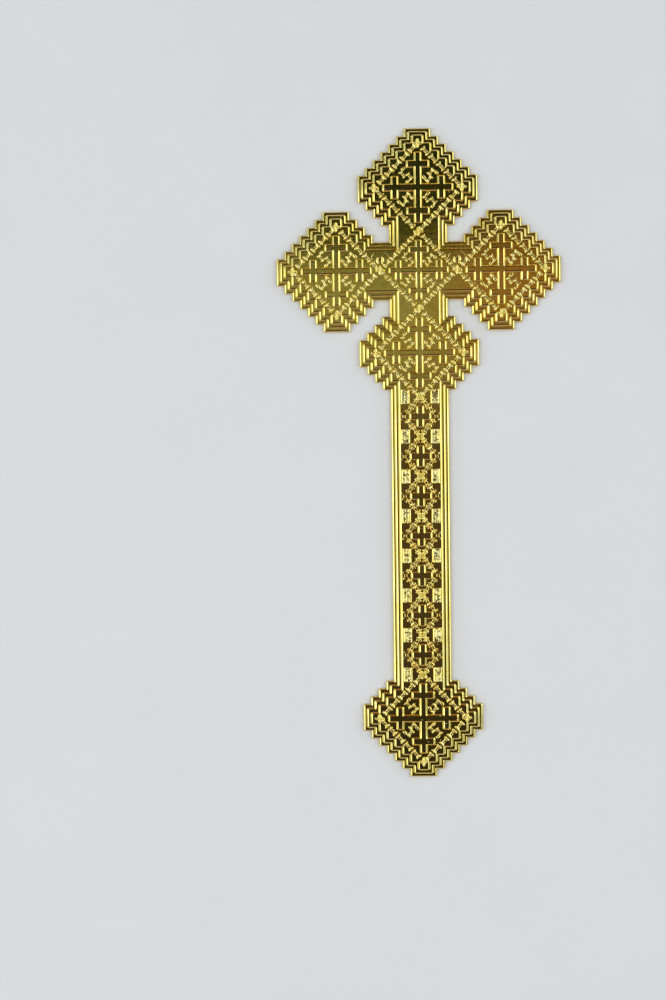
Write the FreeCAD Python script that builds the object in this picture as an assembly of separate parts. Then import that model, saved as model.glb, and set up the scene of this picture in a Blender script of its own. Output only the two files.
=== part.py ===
import FreeCAD, Part
import math
import os

# Hand cross, lying on its flat back: +Y runs up the cross, +Z out of its face, millimetres.
# The origin is under the middle of the whole outline, in the plane of the back.
# Three stacked plates carry applied ornaments: crosslets, chains of spool links, knots,
# links in the quarters, seven handle crosses, stippled grip blocks and two riveted studs.

Vector = FreeCAD.Vector
UP = Vector(0, 0, 1)

# Stepped lozenge outline
STEP = 3.0                # run and rise of one stair
STAIRS = 6                # stairs from one tip to the next
TIP_HALF = 5.25           # half width of the flat tip
LOZENGE_PITCH = 31.8      # from the crossing to each lozenge of the head

# Necks, arms and handle
BAR_HALF = 11.25          # half width of the straight stretches
DIAMONDS = 7              # chain diamonds along the handle
DIAMOND_PITCH = 15.4      # height of one of them

# Plates, from the back to the face
BACK_THICK = 1.6
BACK_BEVEL = 0.45
STEP_THICK = 1.0          # middle plate
STEP_MARGIN = 1.2         # outline to the foot of the middle plate
FIELD_THICK = 1.0         # face plate, whose top is the mirror field
FIELD_MARGIN = 2.7        # outline to the foot of the face plate
PLATE_FOOT = 0.3          # upright part of the edge of both upper plates
PLATE_BEVEL = 0.95        # run of the slope above it

# Crosslets
RELIEF = 0.9              # height of the crosslets over the field
RELIEF_FOOT = 0.25        # upright part of their sides
RELIEF_BEVEL = 0.85       # run of the slope above it
LIMB_HALF = 1.6           # half width of a limb at its foot
LIMB_GAP = 3.15           # end of a main limb to the corner of the chain
CROSSBAR_PLACE = 9.0      # centre to the middle of a crossbar
CROSSBAR_HALF = 4.6       # half length of a crossbar
HANDLE_CROSS_REACH = 4.35

# Chains of spool links
CHAIN_REACH = 16.95       # centre of a lozenge to the corner of its chain
SIDE_LINKS = 5            # links on one side of a chain
LAST_LINK_GAP = 0.65      # last link to the corner, as a share of the link pitch
LINK_LENGTH = 3.4
LINK_RADIUS = 0.85        # at the flanges
LINK_WAIST = 0.42         # radius between the flanges
LINK_FLANGE = 0.75        # length of a flange
KNOT_HALF = 0.85          # half side of a corner knot
KNOT_HEIGHT = 0.95
KNOT_BEVEL = 0.4

# Links in the quarters of a crosslet
BONE_LENGTH = 2.7
BONE_RADIUS = 0.58
BONE_WAIST = 0.32
BONE_FLANGE = 0.6
OUTER_BONE = (5.85, 5.15)  # place of the bone by the chain, off the crosslet's two axes
INNER_BONE = (3.15, 4.35)  # place of the bone by the crosslet's middle
PEG_LENGTH = 1.2
PEG_RADIUS = 0.36
OUTER_PEG = (5.6, 7.25)
INNER_PEG = (3.85, 2.4)

# Handle chain and grip blocks
HANDLE_CHAIN_GAP = 0.1     # side link of the chain to the edge of the field
HANDLE_SIDE_LINKS = 2
HANDLE_LINK_LENGTH = 2.4
HANDLE_LINK_RADIUS = 0.7
BLOCK_WIDTH = 3.5
BLOCK_HEIGHT = 5.8
BLOCK_RELIEF = 0.5
BLOCK_BEVEL = 0.3
BLOCK_GAP = 0.1            # block to the edge of the field

# Riveted studs over the chain crossings of both arms
STUD_RISE = 3.95           # arm axis to the stud
STUD_RADIUS = 1.5
STUD_DOME = 0.85
SHANK_RADIUS = 0.8
SHANK_CLEARANCE = 0.05
TAIL_RADIUS = 1.3          # upset tail, flush with the back
TAIL_DEPTH = 0.5

# Places worked out from the sizes above
HANDLE_LENGTH = DIAMONDS * DIAMOND_PITCH
FOOT_DROP = LOZENGE_PITCH + 2 * CHAIN_REACH + HANDLE_LENGTH
CROSSING_Y = (FOOT_DROP - LOZENGE_PITCH) / 2
CENTRE_CHAIN_REACH = LOZENGE_PITCH - CHAIN_REACH
CENTRE_SCALE = CENTRE_CHAIN_REACH / CHAIN_REACH
STEP_BASE_Z = BACK_THICK
FIELD_BASE_Z = STEP_BASE_Z + STEP_THICK
FIELD_Z = FIELD_BASE_Z + FIELD_THICK
FIELD_HALF = BAR_HALF - FIELD_MARGIN - PLATE_BEVEL
HANDLE_CHAIN_HALF = FIELD_HALF - HANDLE_CHAIN_GAP - HANDLE_LINK_RADIUS
HANDLE_TOP_Y = CROSSING_Y - LOZENGE_PITCH - CHAIN_REACH

LOZENGES = {
    "top": (0, CROSSING_Y + LOZENGE_PITCH),
    "left": (-LOZENGE_PITCH, CROSSING_Y),
    "right": (LOZENGE_PITCH, CROSSING_Y),
    "lower": (0, CROSSING_Y - LOZENGE_PITCH),
    "foot": (0, CROSSING_Y - FOOT_DROP),
}
CENTRE = (0, CROSSING_Y)


def rectangle(center, half_x, half_y):
    x, y = center
    return (x - half_x, y - half_y, x + half_x, y + half_y)


def corners(rect, margin, z):
    """The four corners of a rectangle drawn in by a margin."""
    x0, y0, x1, y1 = rect
    x0, y0, x1, y1 = x0 + margin, y0 + margin, x1 - margin, y1 - margin
    return [Vector(x0, y0, z), Vector(x1, y0, z), Vector(x1, y1, z), Vector(x0, y1, z)]


def face(points):
    return Part.Face(Part.makePolygon(points + points[:1]))


def block(rect, levels):
    """A solid over a rectangle; each level is its margin from the rectangle and its height."""
    rings = [corners(rect, margin, z) for margin, z in levels]
    faces = [face(rings[0]), face(rings[-1])]
    for low, high in zip(rings, rings[1:]):
        for i in range(4):
            j = (i + 1) % 4
            faces.append(face([low[i], low[j], high[j], high[i]]))
    return Part.makeSolid(Part.makeShell(faces))


def relief(rects, levels):
    """One solid over joined rectangles, with the same edge all round."""
    blocks = [block(rect, levels) for rect in rects]
    return blocks[0].multiFuse(blocks[1:]).removeSplitter()


def plate(outline, margin, z0, thickness):
    """One of the two upper plates: a short upright foot, then a slope up to its top."""
    levels = [(margin, z0), (margin, z0 + PLATE_FOOT), (margin + PLATE_BEVEL, z0 + thickness)]
    return relief(outline, levels)


def back(outline):
    levels = [(0, 0), (0, BACK_THICK - BACK_BEVEL), (BACK_BEVEL, BACK_THICK)]
    return relief(outline, levels)


def lozenge_rectangles(center):
    rects = []
    for stair in range(STAIRS + 1):
        half_x = TIP_HALF + stair * STEP
        half_y = TIP_HALF + (STAIRS - stair) * STEP
        rects.append(rectangle(center, half_x, half_y))
    return rects


def outline_rectangles():
    """The whole cross: five stepped lozenges, the long upright bar and the cross arm."""
    rects = []
    for center in LOZENGES.values():
        rects.extend(lozenge_rectangles(center))
    foot_y = LOZENGES["foot"][1]
    top_y = LOZENGES["top"][1]
    rects.append((-BAR_HALF, foot_y, BAR_HALF, top_y))
    rects.append(rectangle(CENTRE, LOZENGE_PITCH, BAR_HALF))
    return rects


def raised(rects):
    """A crosslet or a handle cross over its rectangles, standing on the field."""
    levels = [(0, FIELD_Z), (0, FIELD_Z + RELIEF_FOOT), (RELIEF_BEVEL, FIELD_Z + RELIEF)]
    return relief(rects, levels)


def crosslet(center, chain_reach, scale):
    """Two main limbs, each crossed near both ends by a short bar."""
    x, y = center
    reach = chain_reach - LIMB_GAP
    limb_half = LIMB_HALF * scale
    bar_half = CROSSBAR_HALF * scale
    place = CROSSBAR_PLACE * scale
    rects = [rectangle(center, limb_half, reach), rectangle(center, reach, limb_half)]
    for side in (-1, 1):
        rects.append(rectangle((x, y + side * place), bar_half, limb_half))
        rects.append(rectangle((x + side * place, y), limb_half, bar_half))
    return raised(rects)


def handle_cross(center):
    upright = rectangle(center, LIMB_HALF, HANDLE_CROSS_REACH)
    level = rectangle(center, HANDLE_CROSS_REACH, LIMB_HALF)
    return raised([upright, level])


def half_spool(length, radius, waist, flange):
    """A spool lying along X, cut flat through its axis, its cut side down at z = 0."""
    half = length / 2
    hub = half - flange
    profile = [
        Vector(-half, 0, 0), Vector(-half, 0, radius * 0.8), Vector(-half + flange / 2, 0, radius),
        Vector(-hub, 0, waist), Vector(hub, 0, waist),
        Vector(half - flange / 2, 0, radius), Vector(half, 0, radius * 0.8), Vector(half, 0, 0),
    ]
    turn = face(profile).revolve(Vector(0, 0, 0), Vector(1, 0, 0), 180)
    turn.rotate(Vector(0, 0, 0), Vector(1, 0, 0), -90)
    return turn


def half_peg(length, radius):
    rod = Part.makeCylinder(radius, length, Vector(-length / 2, 0, 0), Vector(1, 0, 0))
    upper = Part.makeBox(length, 2 * radius, radius, Vector(-length / 2, -radius, 0))
    return rod.common(upper)


def laid(shape, center, degrees):
    """A copy of an ornament on the field, turned and put in its place."""
    copy = shape.copy()
    copy.rotate(Vector(0, 0, 0), UP, degrees)
    copy.translate(Vector(center[0], center[1], FIELD_Z))
    return copy


def quarter_turned(point, turns):
    x, y = point
    for _ in range(turns):
        x, y = -y, x
    return x, y


def chain(center, reach, scale):
    """Links round a diamond; every side starts one link pitch from its corner."""
    pitch = reach / (SIDE_LINKS + LAST_LINK_GAP)
    link = half_spool(LINK_LENGTH * scale, LINK_RADIUS * scale, LINK_WAIST * scale, LINK_FLANGE * scale)
    links = []
    for side in range(4):
        for number in range(1, SIDE_LINKS + 1):
            x, y = quarter_turned((number * pitch, reach - number * pitch), side)
            links.append(laid(link, (center[0] + x, center[1] + y), -45 + 90 * side))
    return links


def quarter_links(center, scale):
    """Two bones and two pegs in each quarter, in the same turn all round."""
    bone = half_spool(BONE_LENGTH * scale, BONE_RADIUS * scale, BONE_WAIST * scale, BONE_FLANGE * scale)
    peg = half_peg(PEG_LENGTH * scale, PEG_RADIUS * scale)
    places = [(bone, OUTER_BONE, -45), (bone, INNER_BONE, -45), (peg, OUTER_PEG, 45), (peg, INNER_PEG, 45)]
    links = []
    for side in range(4):
        for shape, (across, up), degrees in places:
            x, y = quarter_turned((-across * scale, up * scale), side)
            links.append(laid(shape, (center[0] + x, center[1] + y), degrees + 90 * side))
    return links


def knot():
    """A square button set on its corner."""
    square = rectangle((0, 0), KNOT_HALF, KNOT_HALF)
    button = block(square, [(0, 0), (KNOT_BEVEL, KNOT_HEIGHT)])
    button.rotate(Vector(0, 0, 0), UP, 45)
    return button


def handle_crossings():
    """The heights where the handle chain crosses the axis, from the head down."""
    return [HANDLE_TOP_Y - number * DIAMOND_PITCH for number in range(DIAMONDS + 1)]


def knots():
    places = [(0, y) for y in handle_crossings()]
    for name, (x, y) in LOZENGES.items():
        ends = [(x - CHAIN_REACH, y), (x + CHAIN_REACH, y)]
        if name != "foot":
            ends.append((x, y + CHAIN_REACH))
        if name != "lower":
            ends.append((x, y - CHAIN_REACH))
        places.extend(ends)
    button = knot()
    return [laid(button, place, 0) for place in places]


def handle_chain():
    """The links of the handle diamonds, with one upright link at each side corner."""
    half_pitch = DIAMOND_PITCH / 2
    link = half_spool(HANDLE_LINK_LENGTH, HANDLE_LINK_RADIUS, LINK_WAIST, LINK_FLANGE * 0.8)
    slope = math.degrees(math.atan2(half_pitch, HANDLE_CHAIN_HALF))
    links = []
    for top_y in handle_crossings()[:-1]:
        middle_y = top_y - half_pitch
        for side in (-1, 1):
            links.append(laid(link, (side * HANDLE_CHAIN_HALF, middle_y), 90))
            for number in range(1, HANDLE_SIDE_LINKS + 1):
                share = number / (HANDLE_SIDE_LINKS + 1)
                x = side * HANDLE_CHAIN_HALF * share
                drop = half_pitch * share
                links.append(laid(link, (x, top_y - drop), -side * slope))
                links.append(laid(link, (x, top_y - DIAMOND_PITCH + drop), side * slope))
    return links


def grip_blocks(side):
    """Raised blocks on one side of the handle field, one at each chain crossing."""
    x = side * (FIELD_HALF - BLOCK_GAP - BLOCK_WIDTH / 2)
    blocks = []
    for y in handle_crossings():
        place = rectangle((x, y), BLOCK_WIDTH / 2, BLOCK_HEIGHT / 2)
        blocks.append(block(place, [(0, FIELD_Z), (BLOCK_BEVEL, FIELD_Z + BLOCK_RELIEF)]))
    return blocks


def stud_places():
    y = CROSSING_Y + STUD_RISE
    return [(-CENTRE_CHAIN_REACH, y), (CENTRE_CHAIN_REACH, y)]


def stud(place):
    """A domed rivet: head on the field, shank through the plates, tail flush with the back."""
    dome_radius = (STUD_RADIUS ** 2 + STUD_DOME ** 2) / (2 * STUD_DOME)
    ball = Part.makeSphere(dome_radius, Vector(0, 0, FIELD_Z + STUD_DOME - dome_radius))
    above = Part.makeCylinder(STUD_RADIUS, STUD_DOME, Vector(0, 0, FIELD_Z))
    shank = Part.makeCylinder(SHANK_RADIUS, FIELD_Z)
    tail = Part.makeCone(TAIL_RADIUS, SHANK_RADIUS, TAIL_DEPTH)
    rivet = ball.common(above).fuse([shank, tail]).removeSplitter()
    rivet.translate(Vector(place[0], place[1], 0))
    return rivet


def drilled(sheet):
    """A plate with the clearance holes of both studs and the seats of their tails."""
    tools = []
    for x, y in stud_places():
        drill = Part.makeCylinder(SHANK_RADIUS + SHANK_CLEARANCE, FIELD_Z, Vector(x, y, 0))
        seat = Part.makeCone(
            TAIL_RADIUS + SHANK_CLEARANCE, SHANK_RADIUS + SHANK_CLEARANCE, TAIL_DEPTH, Vector(x, y, 0)
        )
        tools.append(drill.fuse(seat))
    return sheet.cut(tools)


def write(name, shapes):
    Part.makeCompound(shapes).exportStep(os.path.join("parts", name + ".step"))


def build():
    os.makedirs("parts", exist_ok=True)
    outline = outline_rectangles()
    write("back_plate", [drilled(back(outline))])
    write("step_plate", [drilled(plate(outline, STEP_MARGIN, STEP_BASE_Z, STEP_THICK))])
    write("field_plate", [drilled(plate(outline, FIELD_MARGIN, FIELD_BASE_Z, FIELD_THICK))])

    diamonds = [(name, center, CHAIN_REACH, 1) for name, center in LOZENGES.items()]
    diamonds.append(("centre", CENTRE, CENTRE_CHAIN_REACH, CENTRE_SCALE))
    for name, center, chain_reach, scale in diamonds:
        write("crosslet_" + name, [crosslet(center, chain_reach, scale)])
        write("chain_" + name, chain(center, chain_reach, scale))
        write("quarter_links_" + name, quarter_links(center, scale))

    for number, top_y in enumerate(handle_crossings()[:-1], start=1):
        write("handle_cross_%d" % number, [handle_cross((0, top_y - DIAMOND_PITCH / 2))])
    write("handle_chain", handle_chain())
    write("grip_blocks_left", grip_blocks(-1))
    write("grip_blocks_right", grip_blocks(1))
    write("chain_knots", knots())
    write("arm_studs", [stud(place) for place in stud_places()])


build()
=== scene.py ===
import math

import bpy
import numpy as np
from mathutils import Matrix, Vector

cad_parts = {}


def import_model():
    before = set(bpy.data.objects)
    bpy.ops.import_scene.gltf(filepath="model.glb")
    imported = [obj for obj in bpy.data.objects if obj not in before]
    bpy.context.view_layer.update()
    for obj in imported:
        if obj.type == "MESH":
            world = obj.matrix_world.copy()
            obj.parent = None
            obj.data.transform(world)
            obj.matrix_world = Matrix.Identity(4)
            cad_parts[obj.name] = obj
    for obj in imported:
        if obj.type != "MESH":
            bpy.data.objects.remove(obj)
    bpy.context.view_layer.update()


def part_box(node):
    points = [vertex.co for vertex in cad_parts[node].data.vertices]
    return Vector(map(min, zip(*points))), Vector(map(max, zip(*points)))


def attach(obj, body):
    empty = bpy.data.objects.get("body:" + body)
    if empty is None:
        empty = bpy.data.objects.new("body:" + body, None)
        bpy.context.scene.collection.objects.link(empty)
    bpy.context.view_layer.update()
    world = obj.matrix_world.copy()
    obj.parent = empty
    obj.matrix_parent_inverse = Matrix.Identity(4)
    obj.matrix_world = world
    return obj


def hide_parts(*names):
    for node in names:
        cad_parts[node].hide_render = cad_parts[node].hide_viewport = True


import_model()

# Lengths on the cross are millimetres; MM turns them to metres where a mesh is made.
MM = 0.001

# Stepped outline
STEP = 3.0              # run and rise of one stair
STAIRS = 6              # stairs from one tip to the next
TIP_HALF = 5.25         # half width of a lozenge's flat tip
BAR_HALF = 11.25        # half width of necks, arms and handle
CORNER_POINTS = 7       # points on each rounded corner

# Plates
STEP_MARGIN = 1.2       # outline to the foot of the middle plate
FIELD_MARGIN = 2.7      # outline to the foot of the face plate
PLATE_BEVEL = 0.95      # width of the sloped edge of both upper plates
BACK_BEVEL = 0.75       # width and rise of the sloped edge of the back plate
BACK_BEVEL_RISE = 0.7
BACK_LIFT = 0.04        # back plate above the heads of its rivet tails
BACK_CHAMFER = ((0.2, 0), (0.05, 0.05), (0, 0.2))       # inset, height above the back

# Section of a sloped edge: its angle in degrees at shares of its width, from foot to top
EDGE_SHARES = (0, 0.05, 0.14, 0.2, 0.5, 0.62, 0.72, 0.83, 0.93, 1)
EDGE_ANGLES = (80, 76, 60, 43, 41, 37, 28, 18, 8, 0)

# Radii of rounded corners, first where the outline sticks out, then where it goes in: the
# radius with no inset, and what it gains for each millimetre of inset
BACK_ROUNDING = ((0.5, -0.45), (0.1, 0.7))
PLATE_ROUNDING = ((1, -0.85), (0.12, 0.8))
RELIEF_ROUNDING = ((0.6, -0.5), (0.1, 0.6))

# Crosslets
LIMB_HALF = 1.6         # half width of a limb at its foot
CROSSBAR_PLACE = 9.0    # middle of the crosslet to the middle of a crossbar
CROSSBAR_HALF = 4.6     # half length of a crossbar
RELIEF_BEVEL = 0.85     # width of the sloped edge of crosslets and handle crosses

# Chains. A link is its length, half width, height and the length of a flange.
CHAIN_REACH = 16.95     # centre of a lozenge to the corner of its chain
SIDE_LINKS = 5          # links on one side of a chain
LAST_LINK_GAP = 0.65    # last link to the corner, as a share of the link pitch
LINK = (3.75, 1.15, 0.85, 0.95)
BONE = (3.0, 0.95, 0.6, 0.8)
PEG = (1.8, 0.6, 0.42, 0.5)
HANDLE_LINK = (3.2, 1.25, 0.7, 0.95)
LINK_COLUMNS = 9        # points across the section of a link
LINK_SINK = 0.3         # part of a link let into the field, so that none stands clear of it

# A link from its end to its waist. Each row has the place in flange lengths from the end, the
# shares of the half width and of the height, the squareness, and the depth of the groove along
# the top as a share of the height there.
LINK_SECTIONS = (
    (0, 0.9, 0.42, 7, 0),
    (0.16, 1, 0.84, 7, 0),
    (0.5, 1, 1, 7, 0),
    (0.84, 0.96, 0.8, 5, 0.1),
    (0.98, 0.66, 0.66, 2.8, 0.5),
    (1.2, 0.54, 0.62, 2, 0.6),
)
# A peg from its end: place in end lengths, share of the half width and of the height
PEG_SECTIONS = ((0, 0.45), (0.2, 0.75), (0.5, 0.95), (1, 1))
PEG_SQUARENESS = 2.2

# Places in the quarters of a crosslet, off its two axes, and turns in degrees
OUTER_BONE = (5.85, 5.15)
INNER_BONE = (3.15, 4.35)
OUTER_PEG = (5.6, 7.25)
INNER_PEG = (3.85, 2.4)
BONE_TURN = -45
PEG_TURN = 45

# Dents of the chasing tool
DENT = 0.1              # the deepest, as a share of a link's height
DENT_PITCH = 1.25
HANDLE_DENT = 0.5       # the same two for the handle's chain
HANDLE_DENT_PITCH = 0.85
DENT_SLANT = 0.4        # tangent of the angle between the rows of dents and the handle

# Knots
KNOT_RADIUS = 1.5
HANDLE_KNOT_RADIUS = 1.75
KNOT_HEIGHT = 0.95
KNOT_POINTS = 0.3       # how far its four points stand out, as a share of its radius
KNOT_RIM = 0.2          # height of its rim, as a share of its height
# Shares of the radius at the rings of a knot, the first on the field and the next the rim
KNOT_SHARES = (1, 1, 0.97, 0.91, 0.83, 0.75, 0.66, 0.58, 0.5, 0.42, 0.34, 0.26, 0.17, 0.08)
BEAD = 0.75             # distance between the beads on a knot
BEAD_DEPTH = 0.28       # beads from their mean height to their top, as a share of the dome
HANDLE_BEAD_DEPTH = 0.45
HANDLE_KNOT_TURN = 45   # degrees, so that its points lie along the handle's links

# Handle
DIAMONDS = 7            # chain diamonds along the handle
HANDLE_SIDE_LINKS = 2   # slanted links on one side of a diamond

# Grip blocks
BLOCK_WIDTH = 3.5
BLOCK_HEIGHT = 5.8
BLOCK_GAP = 0.1         # block, or side link of the chain, to the edge of the field
BLOCK_COLUMNS = 15      # points across a grip block
BLOCK_ROWS = 22
BLOCK_RIDGES = 3        # ridges across it, each a column of punch marks
BLOCK_CHAMFER = 0.3     # width of the slope along its edges
BLOCK_END = 0.1         # how far the chamfer is already up at the two ends
BLOCK_SHARES = (0.35, 0.3, 0.35)        # of the height: the body, the ridges, the punch marks
PUNCH_SEED = 5

# Studs. The profiles are shares of the radius and of the height.
STUD_RADIUS = 1.6
STUD_SEAT = 3.6         # radius of the shallow turned seat round a stud
SEAT_RISE = 0.07
TAIL_RADIUS = 1.3
SEAT_PROFILE = ((1, 0), (1, 0.4), (0.985, 0.8), (0.96, 1))
STUD_PROFILE = (
    (1, 0), (1, 0.45), (0.98, 0.58), (0.93, 0.68), (0.87, 0.71), (0.8, 0.77), (0.75, 0.88),
    (0.7, 0.97), (0.66, 1), (0.62, 0.97), (0.57, 0.86), (0.52, 0.73), (0.47, 0.68), (0.05, 0.66),
)
TAIL_PROFILE = ((0.2, 0), (0.7, 0.25), (1.0, 1.0), (1.0, 1.6))

ROUND_COLUMNS = 48      # columns round a knot or a stud

# Camera
CAMERA_PLACE = (-22.2, -5.4, 604.5)
CAMERA_AIM = (-34.2, -17.6, 0)
CAMERA_ROLL = 0.69      # degrees, up axis from +Y towards +X
FOCAL_SHARE = 1.551     # focal length over the height of the picture
SENSOR = 36
CLIP = (0.01, 100)      # metres

# Lamps: name, azimuth from +X towards +Y and elevation in degrees, then in metres the distance
# and the side of the square, and the radiance
SOFTBOXES = (
    ("key_softbox", 195, 42, 1.3, 1.2, 1.35),
    ("fill_softbox", 15, 32, 1.4, 1.0, 1.35),
    ("lower_corner_softbox", 316, 48, 1.2, 0.45, 3),
    ("upper_corner_softbox", 132, 56, 1.2, 0.35, 3),
)

# Table top
TABLE_HALF = 30         # metres
TABLE_ROUGHNESS = 0.9
TABLE_FIBRE = 40        # size of its faint patches

# The studio. A span is two values of the direction's x, y or z, and levels are what a quantity
# is at the two ends of a span; between them it changes smoothly. Light is linear.
BLACK = (0, 0, 0, 1)
ALMOST_ONE = 1.0001                     # keeps a root and a division clear of zero
PANEL_AZIMUTH = 10                      # degrees from +X towards +Y
PANEL_EDGE = (68, 52)                   # degrees off that axis where a panel begins and is full
PANEL_STARTS = (                        # spans of y and levels that add up to where it begins
    ((0, 0.12), (0.26, 0.42)),
    ((0.13, 0.2), (0, 0.2)),
    ((0.24, 0.34), (0, -0.34)),
)
PANEL_FADE = 0.12                       # from where it begins to where it is full
PANEL_LIGHT = (1.05, 1.18, 1.3, 1)
TOP_DIMMING = ((0.13, 0.19), (1, 0.6))  # spans of y and levels of the panels' light
FOOT_DIMMING = ((-0.18, -0.1), (0.5, 1))
FULL_AGAIN = (0.24, 0.34)               # span of y where the dimming for the top ends
STRIP_ZERO = 0.5                        # y = 0 on the strip's scale
STRIP = (
    (0.34, (0.032, 0.028, 0.02, 1)),
    (0.40, (0.07, 0.05, 0.035, 1)),
    (0.53, (0.085, 0.06, 0.04, 1)),
    (0.565, (0.29, 0.27, 0.15, 1)),
    (0.615, (0.31, 0.3, 0.17, 1)),
    (0.63, (0.26, 0.27, 0.15, 1)),
    (0.642, (0.018, 0.025, 0.012, 1)),
)
AMBER_LIGHT = (0.3, 0.16, 0.065, 1)     # ceiling over the right arm
AMBER_SPAN = (0.03, 0.09)               # of x, and the two spans of y between which it lies
AMBER_LOW = (0.04, 0.07)
AMBER_HIGH = (0.13, 0.16)
FOOT_END_LIGHT = (0.44, 0.3, 0.32, 1)   # low parts of the studio beyond the foot and the top
TOP_END_LIGHT = (0.36, 0.18, 0.1, 1)
END_SPAN = (-0.1, 0.1)
DARK_LIGHT = (0.04, 0.03, 0.02, 1)      # above the ends, below the ceiling
DARK_SPAN = (0.4, 0.52)                 # of z, as are the next two
CEILING_SPAN = (0.92, 0.96)
HORIZON_SPAN = (0.03, 0.09)
HORIZON_LIGHT = (0.35, 0.365, 0.39, 1)  # as grey as the far end of the table top


def middle(node):
    """The middle of a node's box as x + iy, in millimetres."""
    low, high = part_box(node)
    return complex(low.x + high.x, low.y + high.y) / (2 * MM)


def height(node, end):
    """The lowest (0) or highest (1) z of a node, in millimetres."""
    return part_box(node)[end].z / MM


def half_width(node):
    """Half the width of a node's box along X, in millimetres."""
    low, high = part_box(node)
    return (high.x - low.x) / (2 * MM)


LOZENGES = {name: middle("crosslet_" + name) for name in ("top", "left", "right", "lower", "foot")}
CENTRE = middle("crosslet_centre")
PITCH = abs(LOZENGES["right"] - CENTRE)
CENTRE_REACH = PITCH - CHAIN_REACH
CENTRE_SCALE = CENTRE_REACH / CHAIN_REACH
FIELD_Z = height("field_plate", 1)
FIELD_HALF = BAR_HALF - FIELD_MARGIN - PLATE_BEVEL
HANDLE_TOP = LOZENGES["lower"].imag - CHAIN_REACH
DIAMOND_PITCH = (HANDLE_TOP - LOZENGES["foot"].imag - CHAIN_REACH) / DIAMONDS
HANDLE_CHAIN_HALF = FIELD_HALF - BLOCK_GAP - HANDLE_LINK[1]
CROSSINGS = [HANDLE_TOP - number * DIAMOND_PITCH for number in range(DIAMONDS + 1)]


# Meshes. A shape is its vertices in millimetres, its faces, and which faces are shaded smooth.

def closed_solid(rings):
    """A closed solid through rings of points (rows, columns, 3), its first and last ring capped
    flat. Seen from the last ring, the columns run clockwise."""
    rows, columns = rings.shape[:2]
    row, column = np.meshgrid(np.arange(rows - 1), np.arange(columns), indexing="ij")
    following = (column + 1) % columns
    corners = [row * columns + column, (row + 1) * columns + column]
    corners += [(row + 1) * columns + following, row * columns + following]
    sides = np.stack(corners, -1).reshape(-1, 4).tolist()
    first = list(range(columns))
    last = list(range((rows - 1) * columns, rows * columns))[::-1]
    smooth = [True] * len(sides) + [False, False]
    return rings.reshape(-1, 3), sides + [first, last], smooth


def layers(rings, heights):
    """A closed solid from outlines x + iy, one above the other."""
    rings = np.asarray(rings)
    z = np.broadcast_to(np.asarray(heights, float)[:, None], rings.shape)
    return closed_solid(np.stack([rings.real, rings.imag, z], -1))


def joined(shapes):
    """Several shapes as one."""
    vertices, faces, smooth, start = [], [], [], 0
    for points, polygons, shading in shapes:
        vertices.append(points)
        faces.extend([[index + start for index in polygon] for polygon in polygons])
        smooth.extend(shading)
        start += len(points)
    return np.concatenate(vertices), faces, smooth


def repeated(base, places, angles):
    """One shape at many places x + iy on the field, each copy turned about Z by its angle."""
    points, faces, smooth = base
    turn = np.exp(1j * np.asarray(angles))[:, None]
    flat = (points[:, 0] + 1j * points[:, 1])[None, :] * turn + np.asarray(places)[:, None]
    z = np.broadcast_to(points[None, :, 2], flat.shape)
    copies = np.stack([flat.real, flat.imag, z], -1)
    return joined([(copy, faces, smooth) for copy in copies])


def add_piece(node, built, material):
    """A finished piece in the place of a CAD node, under the node's name."""
    points, faces, smooth = built
    mesh = bpy.data.meshes.new("gold_" + node)
    mesh.from_pydata((points * MM).tolist(), [], faces)
    mesh.polygons.foreach_set("use_smooth", smooth)
    mesh.materials.append(material)
    mesh.validate()
    piece = bpy.data.objects.new("gold_" + node, mesh)
    bpy.context.scene.collection.objects.link(piece)
    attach(piece, "root")
    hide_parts(node)
    return piece


# Outlines are arrays of points x + iy that run clockwise.

def lozenge_stairs(margin):
    """A quarter of a lozenge from its top tip to its right tip: x climbs and y falls by one STEP
    in turn, both drawn in by the margin."""
    level = TIP_HALF - margin + STEP * np.arange(STAIRS + 1)
    return np.repeat(level, 2)[:-1] + 1j * np.repeat(level[::-1], 2)[1:]


def cross_outline(margin):
    """The whole cross: its right half from the top tip to the foot, and that half mirrored."""
    whole = lozenge_stairs(margin)
    # Points of the stairs that a neck, an arm or the handle swallows
    neck = 2 * round((BAR_HALF - TIP_HALF) / STEP) + 1
    leaving, arriving = whole[neck:], whole[:-neck]
    bar = BAR_HALF - margin
    top, right, lower, foot = (LOZENGES[name] for name in ("top", "right", "lower", "foot"))
    half = np.concatenate([
        top + whole, top - 1j * arriving,
        [CENTRE + bar + 1j * bar],
        right + 1j * leaving, right + whole, right - 1j * whole, right - arriving,
        [CENTRE + bar - 1j * bar],
        lower + leaving, lower - 1j * arriving,
        foot + leaving, foot - 1j * whole,
    ])
    return np.concatenate([half, -np.conj(half[::-1])])


def four_quarters(quarter):
    """A quarter of an outline and its three turns, a right angle clockwise each."""
    return np.concatenate([np.array(quarter) * (-1j) ** turn for turn in range(4)])


def crosslet_outline(reach, scale, inset):
    """Two limbs that cross, each crossed again near both ends by a short bar."""
    limb, bar = LIMB_HALF * scale - inset, CROSSBAR_HALF * scale - inset
    near, far = CROSSBAR_PLACE * scale - limb, CROSSBAR_PLACE * scale + limb
    end = reach - inset
    return four_quarters([
        limb + 1j * end, limb + 1j * far, bar + 1j * far, bar + 1j * near, limb + 1j * near,
        limb + 1j * limb,
        near + 1j * limb, near + 1j * bar, far + 1j * bar, far + 1j * limb, end + 1j * limb,
    ])


def plain_cross_outline(reach, inset):
    """Two plain limbs that cross."""
    limb, end = LIMB_HALF - inset, reach - inset
    return four_quarters([limb + 1j * end, limb + 1j * limb, end + 1j * limb])


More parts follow.
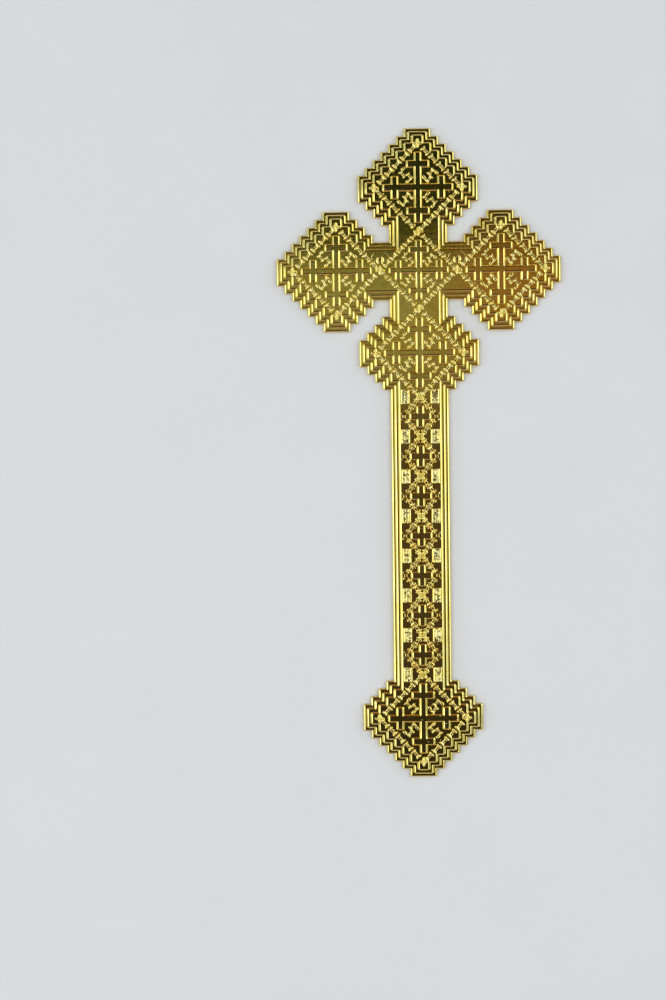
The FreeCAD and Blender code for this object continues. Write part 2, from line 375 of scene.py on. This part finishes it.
def rounded(corners, rounding, inset):
    """The outline with quarter arcs for its square corners: centre plus radius times the way
    in, turned step by step to the way out. The radii come from the rounding at this inset."""
    outer_radius, inner_radius = (radius + gain * inset for radius, gain in rounding)
    before = corners - np.roll(corners, 1)
    after = np.roll(corners, -1) - corners
    before, after = before / abs(before), after / abs(after)
    sticks_out = (np.conj(before) * after).imag < 0
    radius = np.where(sticks_out, outer_radius, inner_radius)[:, None]
    angle = np.linspace(0, math.pi / 2, CORNER_POINTS)[None, :]
    before, after = before[:, None], after[:, None]
    centre = corners[:, None] + radius * (after - before)
    return (centre + radius * (before * np.sin(angle) - after * np.cos(angle))).ravel()


def sloped_edge(width, rise):
    """Section of a polished edge as insets and heights: steep foot, even slope, rounded shoulder.
    The height is the running sum of tan(angle) times the run, stretched to the whole rise."""
    share = np.array(EDGE_SHARES)
    slope = np.tan(np.radians(EDGE_ANGLES))
    climb = np.cumsum((slope[1:] + slope[:-1]) / 2 * np.diff(share))
    return width * share, rise * np.concatenate([[0], climb / climb[-1]])


# Plates

def back_plate():
    """A slim chamfer round the back, upright sides, and a sloped edge below the tread."""
    chamfer_insets, chamfer_ups = np.array(BACK_CHAMFER).T
    edge_insets, edge_ups = sloped_edge(BACK_BEVEL, BACK_BEVEL_RISE)
    edge_foot = height("back_plate", 1) - BACK_BEVEL_RISE
    insets = np.concatenate([chamfer_insets, edge_insets])
    heights = np.concatenate([BACK_LIFT + chamfer_ups, edge_foot + edge_ups])
    rings = [rounded(cross_outline(inset), BACK_ROUNDING, inset) for inset in insets]
    return layers(rings, heights)


def upper_plate(node, margin):
    """A plate with a sloped edge, its foot drawn in from the cross outline by the margin."""
    base, top = height(node, 0), height(node, 1)
    insets, ups = sloped_edge(PLATE_BEVEL, top - base)
    rings = [rounded(cross_outline(margin + inset), PLATE_ROUNDING, inset) for inset in insets]
    return layers(rings, base + ups)


# Crosslets

def raised(node, outline):
    """A crosslet or handle cross on the field: outline(inset) at each inset of a sloped edge."""
    insets, ups = sloped_edge(RELIEF_BEVEL, height(node, 1) - FIELD_Z)
    rings = [rounded(outline(inset), RELIEF_ROUNDING, inset) for inset in insets]
    return layers(np.asarray(rings) + middle(node), FIELD_Z + ups)


def crosslet(name, scale):
    node = "crosslet_" + name
    reach = half_width(node)
    return raised(node, lambda inset: crosslet_outline(reach, scale, inset))


def handle_cross(node):
    reach = half_width(node)
    return raised(node, lambda inset: plain_cross_outline(reach, inset))


# Chain links

def lying_form(along, half_width, rise, squareness, groove):
    """A form that lies along X on the field. Its section at each place is half a superellipse:
    across = half_width cos(t)^(2/n) and up = rise sin(t)^(2/n), n being the squareness there.
    Its two feet are let into the field by LINK_SINK, and the groove along the middle of its top
    is a share of the rise deep."""
    t = np.linspace(math.pi, 0, LINK_COLUMNS)
    power = 2 / squareness[:, None]
    x = along[:, None] + 0 * t
    y = half_width[:, None] * np.sign(np.cos(t)) * np.abs(np.cos(t)) ** power
    up = rise[:, None] * np.abs(np.sin(t)) ** power
    up[:, LINK_COLUMNS // 2] *= 1 - groove
    up[:, [0, -1]] -= LINK_SINK
    return closed_solid(np.stack([x, y, FIELD_Z + up], -1))


def there_and_back(values):
    """The values for one half of a form, and mirrored for its other half."""
    return np.concatenate([values, np.array(values)[::-1]])


def spool(length, half_width, rise, flange):
    """A link: a square shouldered ridge across both ends and a round, grooved waist between."""
    places, widths, rises, squareness, groove = np.array(LINK_SECTIONS).T
    along = -length / 2 + flange * places
    along = np.concatenate([along, -along[::-1]])
    return lying_form(along, half_width * there_and_back(widths), rise * there_and_back(rises),
                      there_and_back(squareness), there_and_back(groove))


def chased(shape, dent, pitch):
    """A shape with dents from the chasing tool: its height above the field is lowered by dent
    times (1 + cos p cos q) / 2, p and q being two waves that cross the field aslant."""
    points, faces, smooth = shape
    x, y, z = points.T
    wave = 2 * math.pi / pitch
    dents = np.cos(wave * (x + DENT_SLANT * y)) * np.cos(wave * (y - DENT_SLANT * x))
    share = (1 + dents) / 2
    dented = FIELD_Z + (z - FIELD_Z) * (1 - dent * share)
    return np.stack([x, y, dented], -1), faces, smooth


def peg(length, half_width, rise, end):
    """A half round pin that tapers at both ends."""
    places, shares = np.array(PEG_SECTIONS).T
    along = length / 2 - end * places
    along = np.concatenate([-along, along[::-1]])
    shares = there_and_back(shares)
    squareness = PEG_SQUARENESS + 0 * shares
    return lying_form(along, half_width * shares, rise * shares, squareness, 0 * shares)


def chain(name, reach, scale):
    """Links round a diamond, one side turned four times. Each side starts a link's pitch from
    its corner."""
    step = reach / (SIDE_LINKS + LAST_LINK_GAP) * np.arange(1, SIDE_LINKS + 1)
    side = step + 1j * (reach - step)
    turns = np.repeat(np.arange(4), SIDE_LINKS)
    places = middle("crosslet_" + name) + np.tile(side, 4) * 1j ** turns
    angles = -math.pi / 4 + math.pi / 2 * turns
    links = repeated(spool(*(size * scale for size in LINK)), places, angles)
    return chased(links, DENT, DENT_PITCH)


def quarter_links(name, scale):
    """Two bones and two pegs in each quarter of a crosslet, turned four times."""
    turns = np.arange(4)
    centre = middle("crosslet_" + name)
    bone, pin = spool(*BONE), peg(*PEG)
    parts = [(bone, OUTER_BONE, BONE_TURN), (bone, INNER_BONE, BONE_TURN)]
    parts += [(pin, OUTER_PEG, PEG_TURN), (pin, INNER_PEG, PEG_TURN)]
    shapes = []
    for (points, faces, smooth), (across, up), degrees in parts:
        scaled = (points - [0, 0, FIELD_Z]) * scale + [0, 0, FIELD_Z]
        places = centre + (-across + 1j * up) * scale * 1j ** turns
        angles = math.radians(degrees) + math.pi / 2 * turns
        shapes.append(repeated((scaled, faces, smooth), places, angles))
    return chased(joined(shapes), DENT, DENT_PITCH)


def handle_chain():
    """Slanted links on the four sides of each handle diamond, and an upright link at both of its
    side corners."""
    half_pitch = DIAMOND_PITCH / 2
    slope = math.atan2(half_pitch, HANDLE_CHAIN_HALF)
    shares = np.arange(1, HANDLE_SIDE_LINKS + 1) / (HANDLE_SIDE_LINKS + 1)
    places, angles = [], []
    for top in CROSSINGS[:-1]:
        middle_y = top - half_pitch
        for side in (-1, 1):
            places.append(complex(side * HANDLE_CHAIN_HALF, middle_y))
            angles.append(math.pi / 2)
            for share in shares:
                for up in (-1, 1):
                    y = middle_y + up * half_pitch * (1 - share)
                    places.append(complex(side * HANDLE_CHAIN_HALF * share, y))
                    angles.append(-side * up * slope)
    links = repeated(spool(*HANDLE_LINK), places, angles)
    return chased(links, HANDLE_DENT, HANDLE_DENT_PITCH)


def knot(size, depth):
    """A knot of beads on a four pointed star. At angle a the rim's radius is size times
    1 + KNOT_POINTS cos 4a. At a share s of that radius the height falls from the middle to the
    rim as 1 - s^4, times 1 - depth + depth cos cos, the product of two waves along the
    diagonals that stands the beads BEAD apart."""
    angle = np.linspace(0, -2 * math.pi, ROUND_COLUMNS, endpoint=False)[None, :]
    share = np.array(KNOT_SHARES)
    radius = size * share[:, None] * (1 + KNOT_POINTS * np.cos(4 * angle))
    x, y = radius * np.cos(angle), radius * np.sin(angle)
    beads = np.cos(math.pi * (x + y) / BEAD) * np.cos(math.pi * (x - y) / BEAD)
    dome = (1 - share[:, None] ** 4) * (1 - depth + depth * beads)
    up = KNOT_RIM + (1 - KNOT_RIM) * dome
    up[0] = 0
    z = FIELD_Z + KNOT_HEIGHT * up / up.max()
    return closed_solid(np.stack([x, y, z], -1))


def knot_places():
    """The corners of the chains, without the two that are handle crossings."""
    places = []
    for name, centre in LOZENGES.items():
        ends = [-1, 1]
        if name != "foot":
            ends.append(1j)
        if name != "lower":
            ends.append(-1j)
        places.extend(centre + CHAIN_REACH * end for end in ends)
    return places


def chain_knots():
    """A knot at every corner of the chains, wider ones where the handle's chain crosses."""
    crossings = [complex(0, y) for y in CROSSINGS]
    handle_knot = knot(HANDLE_KNOT_RADIUS, HANDLE_BEAD_DEPTH)
    turns = [math.radians(HANDLE_KNOT_TURN)] * len(crossings)
    corners = knot_places()
    corner_knot = knot(KNOT_RADIUS, BEAD_DEPTH)
    return joined([repeated(handle_knot, crossings, turns),
                   repeated(corner_knot, corners, [0] * len(corners))])


# Grip blocks

def grip_block(place, random):
    """A punched block, a sheet of points that run up its length. The height is the relief times
    the distance to the edge over BLOCK_CHAMFER, at most 1, times the sum of three shares: the
    body, a wave of BLOCK_RIDGES ridges across the block, and the chance depth of a punch mark."""
    relief = height("grip_blocks_left", 1) - FIELD_Z
    body, ridge_depth, mark_depth = BLOCK_SHARES
    across = BLOCK_WIDTH / 2 * np.linspace(1, -1, BLOCK_COLUMNS)
    up = BLOCK_HEIGHT / 2 * np.linspace(-1, 1, BLOCK_ROWS)
    x, y = np.meshgrid(across, up)
    edge = np.minimum(BLOCK_WIDTH / 2 - abs(x), BLOCK_HEIGHT / 2 - abs(y) + BLOCK_END)
    ridges = 0.5 - 0.5 * np.cos(2 * math.pi * BLOCK_RIDGES * (x / BLOCK_WIDTH + 0.5))
    marks = random.random(x.shape)
    shares = body + ridge_depth * ridges + mark_depth * marks
    z = relief * np.minimum(edge / BLOCK_CHAMFER, 1) * shares
    return closed_solid(np.stack([x + place.real, y + place.imag, FIELD_Z + z], -1))


def grip_blocks(side):
    """The blocks of one side of the handle, -1 for its left and 1 for its right."""
    random = np.random.default_rng(PUNCH_SEED + side)
    x = side * (FIELD_HALF - BLOCK_GAP - BLOCK_WIDTH / 2)
    return joined([grip_block(complex(x, y), random) for y in CROSSINGS])


# Studs

def turned(profile, base, radius, rise):
    """A turned shape about Z. The profile has shares of the radius and of the rise over the
    base, swept round in ROUND_COLUMNS columns."""
    angle = np.linspace(0, -2 * math.pi, ROUND_COLUMNS, endpoint=False)[None, :]
    radii, heights = np.array(profile).T
    x = radius * radii[:, None] * np.cos(angle)
    y = radius * radii[:, None] * np.sin(angle)
    z = base + rise * heights[:, None] + 0 * angle
    return closed_solid(np.stack([x, y, z], -1))


def arm_studs():
    """Dished heads, each on a shallow round seat on the field, and their tails in the back."""
    seat = turned(SEAT_PROFILE, FIELD_Z, STUD_SEAT, SEAT_RISE)
    head = turned(STUD_PROFILE, FIELD_Z, STUD_RADIUS, height("arm_studs", 1) - FIELD_Z)
    tail = turned(TAIL_PROFILE, 0, TAIL_RADIUS, BACK_LIFT)
    y = middle("arm_studs").imag
    places = [complex(-CENTRE_REACH, y), complex(CENTRE_REACH, y)]
    return repeated(joined([seat, head, tail]), places, [0, 0])


# Materials

def linear(code):
    """A hex colour as linear red, green, blue and alpha."""
    channels = [int(code[start:start + 2], 16) / 255 for start in (0, 2, 4)]
    return [c / 12.92 if c <= 0.04045 else ((c + 0.055) / 1.055) ** 2.4 for c in channels] + [1]


def add(tree, kind, sockets=(), **settings):
    """Adds a node. The settings are its own; sockets gives inputs a value or another's output."""
    node = tree.nodes.new(kind)
    for name, value in settings.items():
        setattr(node, name, value)
    for name, value in dict(sockets).items():
        if isinstance(value, bpy.types.NodeSocket):
            tree.links.new(value, node.inputs[name])
        else:
            node.inputs[name].default_value = value
    return node


def new_material(name):
    """An empty material, its node tree, and the place on the object as a node's output."""
    material = bpy.data.materials.new(name)
    material.use_nodes = True
    tree = material.node_tree
    tree.nodes.clear()
    return material, tree, add(tree, "ShaderNodeTexCoord").outputs["Object"]


def per_metre(size):
    """Texture scale of a pattern whose cells are this many millimetres across."""
    return 1 / (size * MM)


# Every gold: where the noise turns from one colour, or one roughness, to the other, and how
# much finer the haze is than the patches of colour
PATCH_SPAN = (0.35, 0.65)
HAZE_SPAN = (0.3, 0.7)
HAZE_FINENESS = 4
PIT_DEPTH = 0.04


def gold(name, colours, roughness, patch, grain, grain_height, pit_spacing, pit_share):
    """Gold plate on a brass casting: two golds in soft patches, roughness that wanders between
    two values, a fine grain left by the casting, and round pits where the plate lies thin.
    Lengths are millimetres; pit_share is a pit's radius as a share of the spacing."""
    material, tree, place = new_material(name)
    patches = add(tree, "ShaderNodeTexNoise", {
        "Vector": place, "Scale": per_metre(patch), "Detail": 3,
    })
    blend = add(tree, "ShaderNodeMapRange", {
        "Value": patches.outputs["Fac"], "From Min": PATCH_SPAN[0], "From Max": PATCH_SPAN[1],
    })
    colour = add(tree, "ShaderNodeMix", {
        0: blend.outputs[0], 6: linear(colours[0]), 7: linear(colours[1]),
    }, data_type="RGBA")
    haze = add(tree, "ShaderNodeTexNoise", {
        "Vector": place, "Scale": per_metre(patch / HAZE_FINENESS), "Detail": 4,
    })
    gloss = add(tree, "ShaderNodeMapRange", {
        "Value": haze.outputs["Fac"], "From Min": HAZE_SPAN[0], "From Max": HAZE_SPAN[1],
        "To Min": roughness[0], "To Max": roughness[1],
    })
    grains = add(tree, "ShaderNodeTexNoise", {
        "Vector": place, "Scale": per_metre(grain), "Detail": 2,
    })
    grain_bump = add(tree, "ShaderNodeBump", {
        "Height": grains.outputs["Fac"], "Distance": grain_height * MM, "Strength": 1,
    })
    cells = add(tree, "ShaderNodeTexVoronoi", {"Vector": place, "Scale": per_metre(pit_spacing)})
    pits = add(tree, "ShaderNodeMapRange", {
        "Value": cells.outputs["Distance"], "From Min": 0, "From Max": pit_share,
    }, interpolation_type="SMOOTHSTEP")
    pit_bump = add(tree, "ShaderNodeBump", {
        "Height": pits.outputs[0], "Distance": PIT_DEPTH * MM, "Strength": 1,
        "Normal": grain_bump.outputs[0],
    })
    surface = add(tree, "ShaderNodeBsdfPrincipled", {
        "Base Color": colour.outputs[2], "Metallic": 1, "Roughness": gloss.outputs[0],
        "Normal": pit_bump.outputs[0],
    })
    add(tree, "ShaderNodeOutputMaterial", {"Surface": surface.outputs[0]})
    return material


# The polished plates: a mirror with orange peel from the plating bath and a few open pits.
PLATE_GOLD = gold("plate_gold", ("EEDD88", "E8D26E"), (0.06, 0.12), patch=7, grain=1.5,
                  grain_height=0.008, pit_spacing=2.2, pit_share=0.09)
# The crosslets: polished on the same wheel, with a tighter orange peel.
CROSSLET_GOLD = gold("crosslet_gold", ("EEDD88", "E8D070"), (0.06, 0.12), patch=5, grain=1.2,
                     grain_height=0.007, pit_spacing=2.4, pit_share=0.08)
# Chains and quarter links: as cast under the plate, so pale, grainy and less of a mirror.
LINK_GOLD = gold("link_gold", ("F0E090", "E7CE70"), (0.1, 0.2), patch=3, grain=0.5,
                 grain_height=0.035, pit_spacing=1.6, pit_share=0.08)
# Knots: the same casting, a brighter yellow where the beads are worn.
KNOT_GOLD = gold("knot_gold", ("F6E88C", "EAD26C"), (0.1, 0.2), patch=3, grain=0.4,
                 grain_height=0.03, pit_spacing=1.6, pit_share=0.08)
# The handle's chain: the same casting, a deeper gold between the pale blocks.
HANDLE_GOLD = gold("handle_link_gold", ("E8D27C", "DCBC5A"), (0.1, 0.2), patch=3, grain=0.4,
                   grain_height=0.035, pit_spacing=1.3, pit_share=0.1)
# Grip blocks: the palest gold, whose fine grain breaks up the light between the punch marks.
STIPPLED_GOLD = gold("stippled_gold", ("F4E69C", "ECD67C"), (0.1, 0.2), patch=3, grain=0.4,
                     grain_height=0.02, pit_spacing=1.4, pit_share=0.1)
# Studs: burnished heads, the smoothest gold on the cross.
STUD_GOLD = gold("stud_gold", ("F0E08C", "E8D272"), (0.05, 0.12), patch=6, grain=0.8,
                 grain_height=0.006, pit_spacing=3.0, pit_share=0.03)


# The pieces

def build_cross():
    """Every node of the record with its mesh and its gold."""
    add_piece("back_plate", back_plate(), PLATE_GOLD)
    add_piece("step_plate", upper_plate("step_plate", STEP_MARGIN), PLATE_GOLD)
    add_piece("field_plate", upper_plate("field_plate", FIELD_MARGIN), PLATE_GOLD)
    diamonds = [(name, CHAIN_REACH, 1) for name in LOZENGES]
    diamonds.append(("centre", CENTRE_REACH, CENTRE_SCALE))
    for name, reach, scale in diamonds:
        add_piece("crosslet_" + name, crosslet(name, scale), CROSSLET_GOLD)
        add_piece("chain_" + name, chain(name, reach, scale), LINK_GOLD)
        add_piece("quarter_links_" + name, quarter_links(name, scale), LINK_GOLD)
    for number in range(1, DIAMONDS + 1):
        node = "handle_cross_%d" % number
        add_piece(node, handle_cross(node), CROSSLET_GOLD)
    add_piece("chain_knots", chain_knots(), KNOT_GOLD)
    add_piece("handle_chain", handle_chain(), HANDLE_GOLD)
    add_piece("grip_blocks_left", grip_blocks(-1), STIPPLED_GOLD)
    add_piece("grip_blocks_right", grip_blocks(1), STIPPLED_GOLD)
    add_piece("arm_studs", arm_studs(), STUD_GOLD)


build_cross()


# Floor, light and camera

def floor():
    """A plain pale table top, wide enough to meet the grey horizon of the studio."""
    corners = [(-1, -1), (1, -1), (1, 1), (-1, 1)]
    mesh = bpy.data.meshes.new("table_top")
    mesh.from_pydata([(TABLE_HALF * x, TABLE_HALF * y, 0) for x, y in corners], [], [(0, 1, 2, 3)])
    material, tree, place = new_material("matt_pale_board")
    fibre = add(tree, "ShaderNodeTexNoise", {
        "Vector": place, "Scale": per_metre(TABLE_FIBRE), "Detail": 4,
    })
    colour = add(tree, "ShaderNodeMix", {
        0: fibre.outputs["Fac"], 6: linear("E3E2E0"), 7: linear("DEDDDB"),
    }, data_type="RGBA")
    surface = add(tree, "ShaderNodeBsdfPrincipled", {
        "Base Color": colour.outputs[2], "Roughness": TABLE_ROUGHNESS,
    })
    add(tree, "ShaderNodeOutputMaterial", {"Surface": surface.outputs[0]})
    mesh.materials.append(material)
    board = bpy.data.objects.new("table_top", mesh)
    bpy.context.scene.collection.objects.link(board)


def direction(azimuth, elevation):
    """The unit vector at an azimuth, in degrees from +X towards +Y, and an elevation."""
    a, e = math.radians(azimuth), math.radians(elevation)
    return Vector((math.cos(a) * math.cos(e), math.sin(a) * math.cos(e), math.sin(e)))


def softbox(name, azimuth, elevation, distance, size, radiance):
    """A square area lamp that faces the cross. A square emits pi times its area times radiance."""
    lamp = bpy.data.lights.new(name, "AREA")
    lamp.shape = "SQUARE"
    lamp.size = size
    lamp.energy = math.pi * size ** 2 * radiance
    box = bpy.data.objects.new(name, lamp)
    aim = direction(azimuth, elevation)
    box.location = aim * distance
    box.rotation_euler = aim.to_track_quat("Z", "Y").to_euler()
    bpy.context.scene.collection.objects.link(box)


def world():
    """A dim studio: a pale panel on both sides, dimmer beyond the foot and the top, brown and
    amber light low at both ends with a dark belt above it, a dark ceiling whose dull strip the
    flat mirror of the plates picks up, amber over the right arm, and a grey horizon."""
    studio = bpy.data.worlds.new("studio")
    bpy.context.scene.world = studio
    studio.use_nodes = True
    tree = studio.node_tree
    tree.nodes.clear()
    ray = add(tree, "ShaderNodeTexCoord").outputs["Generated"]
    x, y, z = add(tree, "ShaderNodeSeparateXYZ", {0: ray}).outputs

    def ramp(value, span, levels=(0.0, 1.0)):
        return add(tree, "ShaderNodeMapRange", {
            "Value": value, "From Min": span[0], "From Max": span[1],
            "To Min": levels[0], "To Max": levels[1],
        }, interpolation_type="SMOOTHSTEP").outputs[0]

    def maths(operation, *values):
        return add(tree, "ShaderNodeMath", enumerate(values), operation=operation).outputs[0]

    def mix(factor, first, second):
        sockets = {0: factor, 6: first, 7: second}
        return add(tree, "ShaderNodeMix", sockets, data_type="RGBA").outputs[2]

    # The panels face each other across the cross: both begin at an angle off their common axis,
    # and at a distance from straight up along it.
    turn = math.radians(PANEL_AZIMUTH)
    along_axis = maths("ADD", maths("MULTIPLY", x, math.cos(turn)),
                       maths("MULTIPLY", y, math.sin(turn)))
    across = maths("ABSOLUTE", along_axis)
    level_part = maths("SQRT", maths("SUBTRACT", ALMOST_ONE, maths("MULTIPLY", z, z)))
    edge = [math.cos(math.radians(angle)) for angle in PANEL_EDGE]
    aside = ramp(maths("DIVIDE", across, level_part), edge)
    start = 0.0
    for span, levels in PANEL_STARTS:
        start = maths("ADD", start, ramp(y, span, levels))
    reach = ramp(maths("SUBTRACT", across, start), (0, PANEL_FADE))
    dimming = maths("MULTIPLY", ramp(y, *TOP_DIMMING), ramp(y, *FOOT_DIMMING))
    dimming = maths("MAXIMUM", dimming, ramp(y, FULL_AGAIN))
    lit_panel = mix(dimming, BLACK, PANEL_LIGHT)

    strip = add(tree, "ShaderNodeValToRGB", {0: maths("ADD", y, STRIP_ZERO)})
    stops = strip.color_ramp.elements
    for stop, (position, light) in zip(stops, STRIP):
        stop.position, stop.color = position, light
    for position, light in STRIP[len(stops):]:
        stops.new(position).color = light
    ceiling = mix(ramp(x, AMBER_SPAN), strip.outputs[0], AMBER_LIGHT)
    ceiling = mix(ramp(y, AMBER_HIGH), ceiling, strip.outputs[0])
    ceiling = mix(ramp(y, AMBER_LOW, (1, 0)), ceiling, strip.outputs[0])

    ends = mix(ramp(y, END_SPAN), FOOT_END_LIGHT, TOP_END_LIGHT)
    ends = mix(ramp(z, DARK_SPAN), ends, DARK_LIGHT)
    sky = mix(ramp(z, CEILING_SPAN), ends, ceiling)
    sky = mix(maths("MULTIPLY", aside, reach), sky, lit_panel)
    sky = mix(ramp(z, HORIZON_SPAN), HORIZON_LIGHT, sky)
    back = add(tree, "ShaderNodeBackground", {0: sky, 1: 1.0})
    add(tree, "ShaderNodeOutputWorld", {0: back.outputs[0]})


def camera():
    """The photo's camera: 600 mm above the cross, looking nearly straight down."""
    data = bpy.data.cameras.new("camera")
    data.sensor_fit = "VERTICAL"
    data.sensor_height = SENSOR
    data.sensor_width = SENSOR
    data.lens = FOCAL_SHARE * SENSOR
    data.clip_start, data.clip_end = CLIP
    eye = bpy.data.objects.new("camera", data)
    place = Vector(CAMERA_PLACE) * MM
    aim = Vector(CAMERA_AIM) * MM
    ahead = (aim - place).normalized()
    roll = math.radians(CAMERA_ROLL)
    right = ahead.cross(Vector((math.sin(roll), math.cos(roll), 0))).normalized()
    axes = Matrix((right, right.cross(ahead), -ahead)).transposed()
    eye.matrix_world = Matrix.Translation(place) @ axes.to_4x4()
    bpy.context.scene.collection.objects.link(eye)
    bpy.context.scene.camera = eye


floor()
for softbox_settings in SOFTBOXES:
    softbox(*softbox_settings)
world()
camera()
bpy.context.scene.view_settings.view_transform = "Standard"
